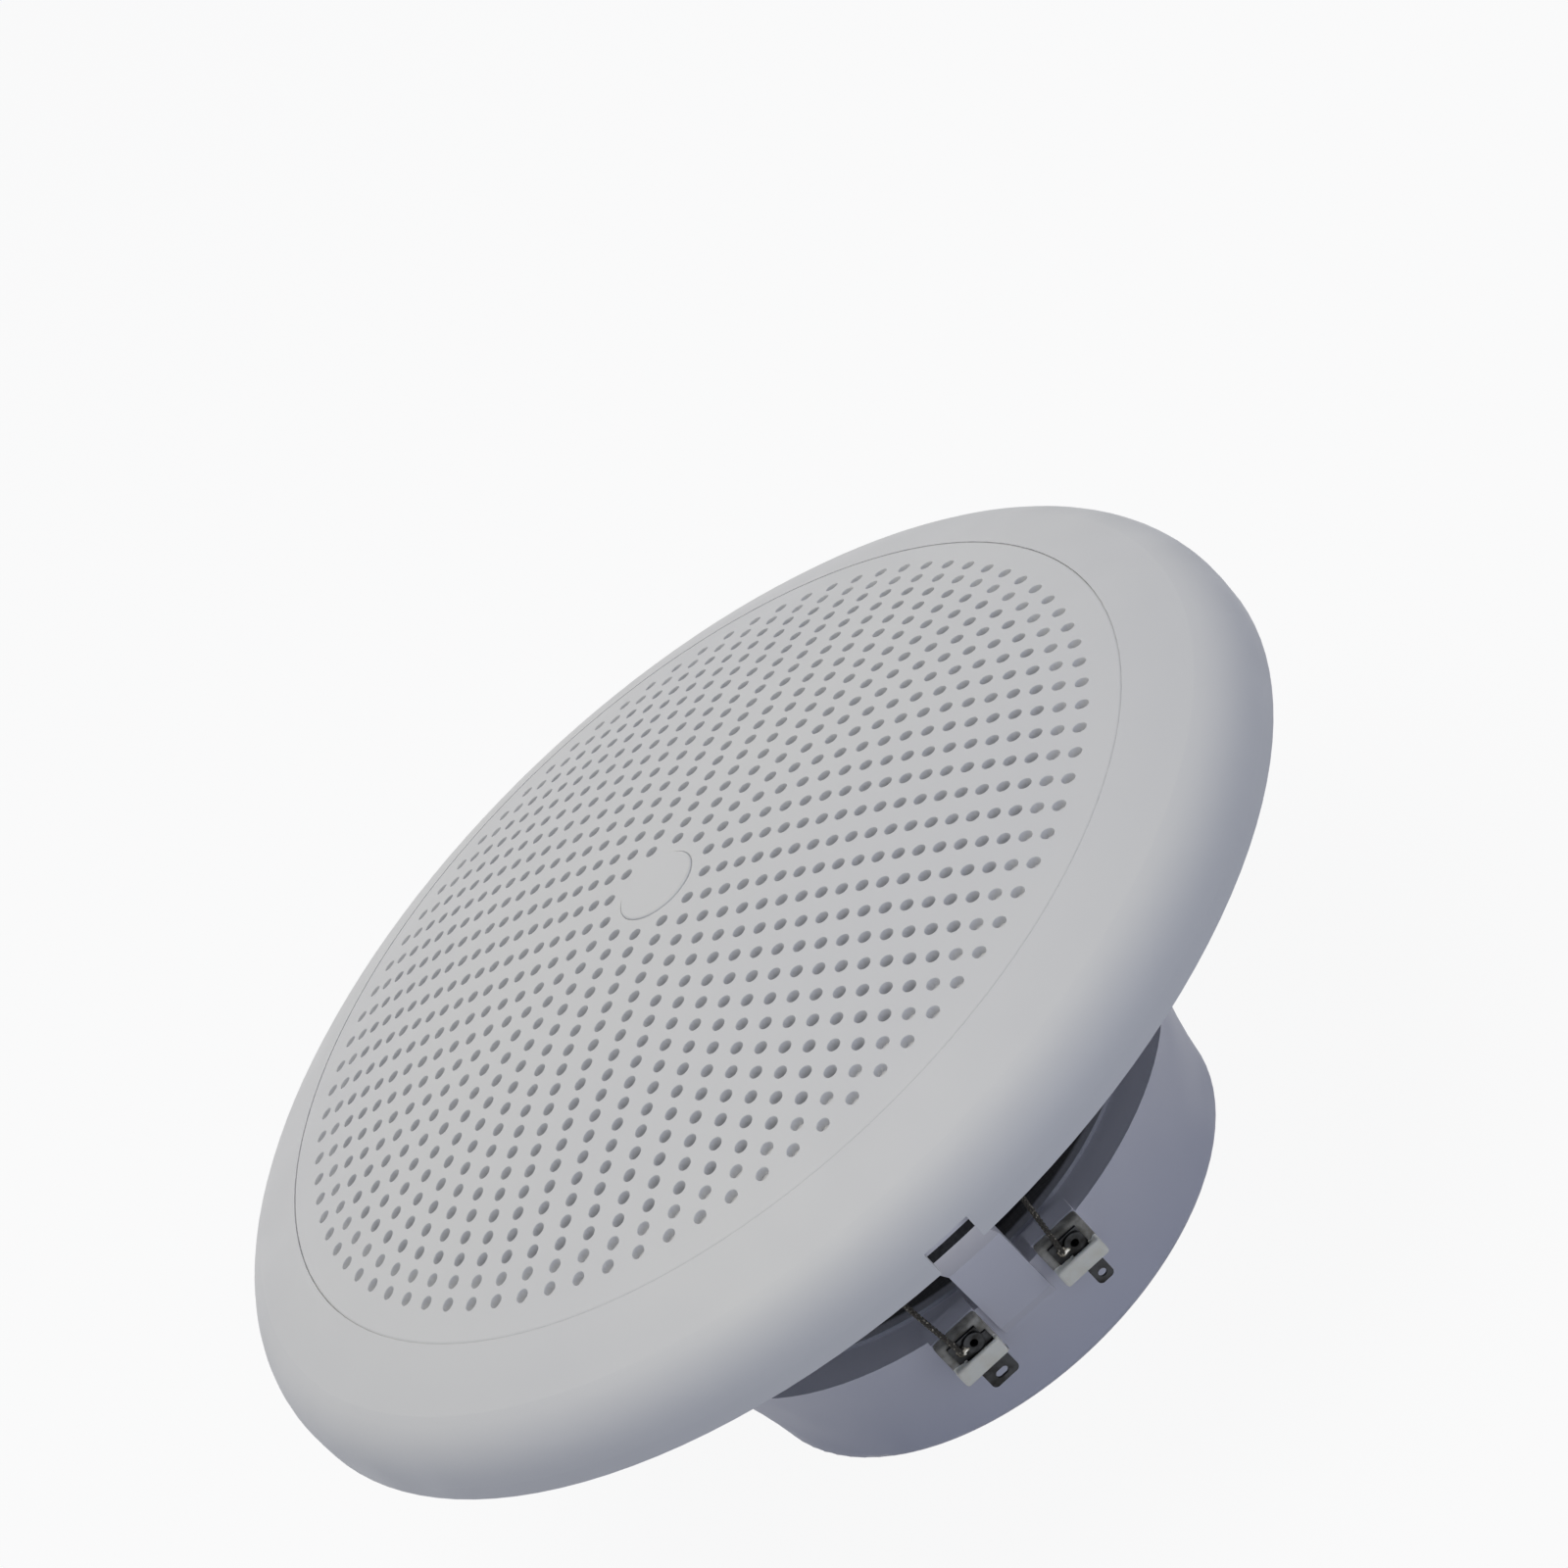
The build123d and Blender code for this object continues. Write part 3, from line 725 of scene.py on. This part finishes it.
def softened(node_name, width, material):
    """Copy of a CAD node with rounded edges, in its place."""
    source = nodes[node_name]
    shape = bmesh.new()
    shape.from_mesh(source.data)
    bmesh.ops.remove_doubles(shape, verts=shape.verts, dist=weld_distance)
    bmesh.ops.dissolve_limit(shape, angle_limit=flat_angle, verts=shape.verts, edges=shape.edges)
    edges = [edge for edge in shape.edges if edge.is_manifold and edge.calc_face_angle() > sharp_edge]
    bmesh.ops.bevel(
        shape, geom=edges, offset=width, segments=edge_steps, profile=edge_profile, affect="EDGES"
    )
    bmesh.ops.remove_doubles(shape, verts=shape.verts, dist=weld_distance)
    bmesh.ops.triangulate(shape, faces=shape.faces)
    shape.transform(source.matrix_world)
    piece = link_shape(f"{node_name}_soft", shape)
    piece.data.set_sharp_from_angle(angle=sharp_edge)
    dress(piece, material)
    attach(piece, "chassis")
    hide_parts(node_name)
    return piece


for side_name, side in terminal_sides.items():
    block = softened(f"terminal_block_{side_name}", block_edge, bar_plastic)
    block.data.materials.append(plate_plastic)
    bar_top = terminal_bar_top + terminal_height(side) - rivet_z
    for face in block.data.polygons:
        face.material_index = int(face.center.z > bar_top + plate_step)
for node_name in ("positive_tag", "negative_tag", "terminal_rivets"):
    softened(node_name, tag_edge, tag_metal)


# Lumpy drops of solder that hold the leads on the tags

solder_size = Vector((1.15 * MM, solder_bulge, 0.85 * MM))
solder_shift = 0.35 * MM
solder_subdivisions = 4
solder_lump = 0.22
solder_lump_scale = 1.4


def solder_blob(name, side):
    shape = bmesh.new()
    bmesh.ops.create_icosphere(shape, subdivisions=solder_subdivisions, radius=1.0)
    middle_x = terminal_middle(side) - lead_joint_shift + solder_shift
    middle = Vector((middle_x, tag_face_y, terminal_height(side)))
    for point in shape.verts:
        lump = 1 + solder_lump * noise.noise(solder_lump_scale * point.co + Vector((side, 0, 0)))
        point.co = middle + lump * point.co * solder_size
    piece = link_shape(name, shape)
    dress(piece, solder_metal)
    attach(piece, "chassis")


for side_name, side in terminal_sides.items():
    solder_blob(f"solder_{side_name}", side)


# Surround and spider

turned_segments = 192
roll_steps = 20
wave_steps = 14

surround_top_z = surround_base_z + surround_thickness
roll_mid = ((surround_roll_inner + surround_roll_outer) / 2, surround_top_z)
roll_radius = (surround_roll_outer - surround_roll_inner) / 2
surround_section = [
    (surround_inner_radius, surround_base_z),
    (surround_inner_radius, surround_top_z),
    *arc(roll_mid, roll_radius, 180, 0, roll_steps),
    (surround_outer_radius, surround_top_z),
    (surround_outer_radius, surround_base_z),
    (roll_mid[0] + roll_radius - surround_thickness, surround_base_z),
    *arc(roll_mid, roll_radius - surround_thickness, 0, 180, roll_steps),
    (roll_mid[0] - roll_radius + surround_thickness, surround_base_z),
]
surround_roll = lathe("surround_roll", surround_section, turned_segments)
dress(surround_roll, surround_rubber)
blend_by_radius(surround_roll)
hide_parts("surround")

spider_outer_neck = spider_neck_radius + spider_thickness
spider_wave_start = spider_outer_neck + spider_flat_width
spider_wave_width = spider_wave_end - spider_wave_start
spider_wave_points = 2 * spider_wave_count * wave_steps
spider_line = [(spider_outer_neck, 0.0)]
for step in range(spider_wave_points + 1):
    share = step / spider_wave_points
    wave = spider_wave_height / 2 * math.sin(2 * math.pi * spider_wave_count * share)
    spider_line.append((spider_wave_start + share * spider_wave_width, wave))
spider_line.append((spider_radius, 0.0))
spider_section = [
    (spider_neck_radius, spider_z),
    (spider_neck_radius, spider_z + spider_neck_height),
    (spider_outer_neck, spider_z + spider_neck_height),
    *[(radius, spider_z + spider_thickness + height) for radius, height in spider_line],
    *[(radius, spider_z + height) for radius, height in reversed(spider_line)],
]
spider_disc = lathe("spider_disc", spider_section, turned_segments)
dress(spider_disc, spider_cloth)
blend_by_radius(spider_disc)
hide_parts("spider")


# Tinsel leads: braided strands along a smooth line from the tag to the back of the cone

strand_pairs = 5
strand_radius = 0.13 * MM
strand_sides = 6
braid_pitch = 3.4 * MM
weave_depth = 0.06 * MM
line_resolution = 110
line_order = 3


def spline_points(name, route):
    """Points of the smooth line that has the route's points as its control points."""
    curve = bpy.data.curves.new(name, "CURVE")
    curve.dimensions = "3D"
    curve.resolution_u = line_resolution
    spline = curve.splines.new("NURBS")
    spline.points.add(len(route) - 1)
    for point, place in zip(spline.points, route):
        point.co = (*place, 1.0)
    spline.order_u = line_order
    spline.use_endpoint_u = True
    holder = bpy.data.objects.new(name, curve)
    bpy.context.scene.collection.objects.link(holder)
    bpy.context.view_layer.update()
    line = bpy.data.meshes.new_from_object(holder.evaluated_get(bpy.context.evaluated_depsgraph_get()))
    points = [point.co.copy() for point in line.vertices]
    bpy.data.objects.remove(holder)
    return points


def line_frames(points):
    """A pair of steady cross directions at each point of a line."""
    frames = []
    across = Vector((1, 0, 0))
    for number in range(len(points)):
        before = points[max(number - 1, 0)]
        after = points[min(number + 1, len(points) - 1)]
        along = (after - before).normalized()
        across = (across - along * across.dot(along)).normalized()
        frames.append((across, along.cross(across)))
    return frames


def tube(points, radius, sides, first):
    """Points and faces of a round tube along a line, with closed ends."""
    made, faces = [], []
    for point, (across, up) in zip(points, line_frames(points)):
        for step in range(sides):
            turn = 2 * math.pi * step / sides
            made.append(point + radius * (math.cos(turn) * across + math.sin(turn) * up))
    for row in range(len(points) - 1):
        for step in range(sides):
            turn = (step + 1) % sides
            low, high = first + row * sides, first + (row + 1) * sides
            faces.append((low + step, low + turn, high + turn, high + step))
    last = first + (len(points) - 1) * sides
    faces.append(tuple(first + step for step in reversed(range(sides))))
    faces.append(tuple(last + step for step in range(sides)))
    return made, faces


def braided_lead(name, route):
    """Two crossing sets of strands that wind round one line, with that line and its length."""
    line = spline_points(name, route)
    frames = line_frames(line)
    travelled = [0.0]
    for before, after in zip(line, line[1:]):
        travelled.append(travelled[-1] + (after - before).length)
    points, faces = [], []
    reach = lead_radius - strand_radius - weave_depth
    for hand in (-1, 1):
        for number in range(strand_pairs):
            strand = []
            for place, way, (across, up) in zip(line, travelled, frames):
                turn = hand * 2 * math.pi * way / braid_pitch + 2 * math.pi * number / strand_pairs
                over = hand * weave_depth * math.cos(strand_pairs * 2 * math.pi * way / braid_pitch)
                strand.append(place + (reach + over) * (math.cos(turn) * across + math.sin(turn) * up))
            strand_points, strand_faces = tube(strand, strand_radius, strand_sides, len(points))
            points += strand_points
            faces += strand_faces
    return link_mesh(name, points, faces), line, travelled[-1]


for side_name, side in terminal_sides.items():
    joint_x = terminal_middle(side) - lead_joint_shift
    joint_z = terminal_height(side)
    top_x = joint_x + side * lead_drift
    start = Vector((joint_x, lead_joint_y, joint_z))
    first = Vector((top_x, lead_joint_y + 2 * lead_radius, joint_z + lead_rise))
    end = Vector((top_x, -math.sqrt(lead_attach_radius**2 - top_x**2), lead_attach_z))
    second = Vector((top_x + side * lead_drift, (first.y + end.y) / 2, (first.z + end.z) / 2))
    lead, lead_line, lead_length = braided_lead(f"lead_{side_name}", (start, first, second, end))
    dress(lead, lead_braid)
    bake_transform(lead)
    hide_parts(f"tinsel_lead_{side_name}")


# Floor and world, which show white and still take the object's shadow

floor_size = 6.0
floor_z = cad_box[0].z
floor_tone = (0.55, 0.56, 0.60, 1.0)
floor_white_share = 0.93
world_tone = (0.80, 0.93, 1.30, 1.0)
world_strength = 0.24
white = (1.0, 1.0, 1.0, 1.0)


def seen_rays(tree):
    """1 for rays that show the background: from the camera, or by way of gloss or glass."""
    path = tree.nodes.new("ShaderNodeLightPath")
    seen = path.outputs["Is Camera Ray"]
    for ray in ("Is Glossy Ray", "Is Transmission Ray"):
        either = tree.nodes.new("ShaderNodeMath")
        either.operation = "MAXIMUM"
        tree.links.new(seen, either.inputs[0])
        tree.links.new(path.outputs[ray], either.inputs[1])
        seen = either.outputs[0]
    return seen


def mix_shaders(tree, share, first, second):
    """Output of a mix of two shader nodes."""
    made = tree.nodes.new("ShaderNodeMixShader")
    for socket, source in zip(made.inputs, (share, first, second)):
        tree.links.new(source, socket)
    return made.outputs[0]


def floor_finish():
    """Pale floor, nearly white to the camera and clear from below."""
    material = bpy.data.materials.new("floor_white")
    material.use_nodes = True
    tree = material.node_tree
    tree.nodes.clear()
    diffuse = tree.nodes.new("ShaderNodeBsdfDiffuse")
    diffuse.inputs["Color"].default_value = floor_tone
    glow = tree.nodes.new("ShaderNodeEmission")
    share = tree.nodes.new("ShaderNodeMath")
    share.operation = "MULTIPLY"
    share.inputs[1].default_value = floor_white_share
    tree.links.new(seen_rays(tree), share.inputs[0])
    front = mix_shaders(tree, share.outputs[0], diffuse.outputs[0], glow.outputs[0])
    below = tree.nodes.new("ShaderNodeNewGeometry").outputs["Backfacing"]
    clear = tree.nodes.new("ShaderNodeBsdfTransparent")
    output = tree.nodes.new("ShaderNodeOutputMaterial")
    tree.links.new(mix_shaders(tree, below, front, clear.outputs[0]), output.inputs["Surface"])
    return material


def light_world():
    """Dim bluish light from all round, behind a white background."""
    world = bpy.data.worlds.new("studio")
    bpy.context.scene.world = world
    world.use_nodes = True
    tree = world.node_tree
    tree.nodes.clear()
    lights = []
    for tone, strength in ((world_tone, world_strength), (white, 1.0)):
        light = tree.nodes.new("ShaderNodeBackground")
        light.inputs["Color"].default_value = tone
        light.inputs["Strength"].default_value = strength
        lights.append(light.outputs[0])
    output = tree.nodes.new("ShaderNodeOutputWorld")
    tree.links.new(mix_shaders(tree, seen_rays(tree), *lights), output.inputs["Surface"])


floor_mesh = bpy.data.meshes.new("floor")
floor_corners = [(-1, -1), (1, -1), (1, 1), (-1, 1)]
floor_points = [(x * floor_size, y * floor_size, floor_z) for x, y in floor_corners]
floor_mesh.from_pydata(floor_points, [], [(0, 1, 2, 3)])
floor_mesh.materials.append(floor_finish())
floor = bpy.data.objects.new("floor", floor_mesh)
bpy.context.scene.collection.objects.link(floor)
light_world()


# Lamps and camera

def area_lamp(name, place, size, power, colour):
    """Square soft lamp turned towards the origin."""
    lamp = bpy.data.lights.new(name, "AREA")
    lamp.size = size
    lamp.energy = power
    lamp.color = colour
    holder = bpy.data.objects.new(name, lamp)
    holder.location = place
    holder.rotation_euler = (-Vector(place)).to_track_quat("-Z", "Y").to_euler()
    bpy.context.scene.collection.objects.link(holder)


area_lamp("key", place=(-0.1, 0.05, 1.3), size=1.2, power=10.8, colour=(1.0, 0.945, 0.79))
area_lamp("fill", place=(0.45, -1.12, 0.08), size=0.8, power=2.2, colour=(0.92, 0.96, 1.06))

camera_place = Vector((26.9, -579.2, 316.9)) * MM
camera_aim = Vector((23.3, 0.1, 21.6)) * MM
camera_roll = math.radians(42.585)
camera_sensor = 36.0
camera_lens = 104.13

camera_data = bpy.data.cameras.new("camera")
camera_data.sensor_width = camera_sensor
camera_data.lens = camera_lens
camera = bpy.data.objects.new("camera", camera_data)
camera_turn = (camera_aim - camera_place).to_track_quat("-Z", "Y").to_matrix().to_4x4()
camera.matrix_world = Matrix.Translation(camera_place) @ camera_turn @ Matrix.Rotation(-camera_roll, 4, "Z")
bpy.context.scene.collection.objects.link(camera)
bpy.context.scene.camera = camera
bpy.context.scene.view_settings.view_transform = "Standard"
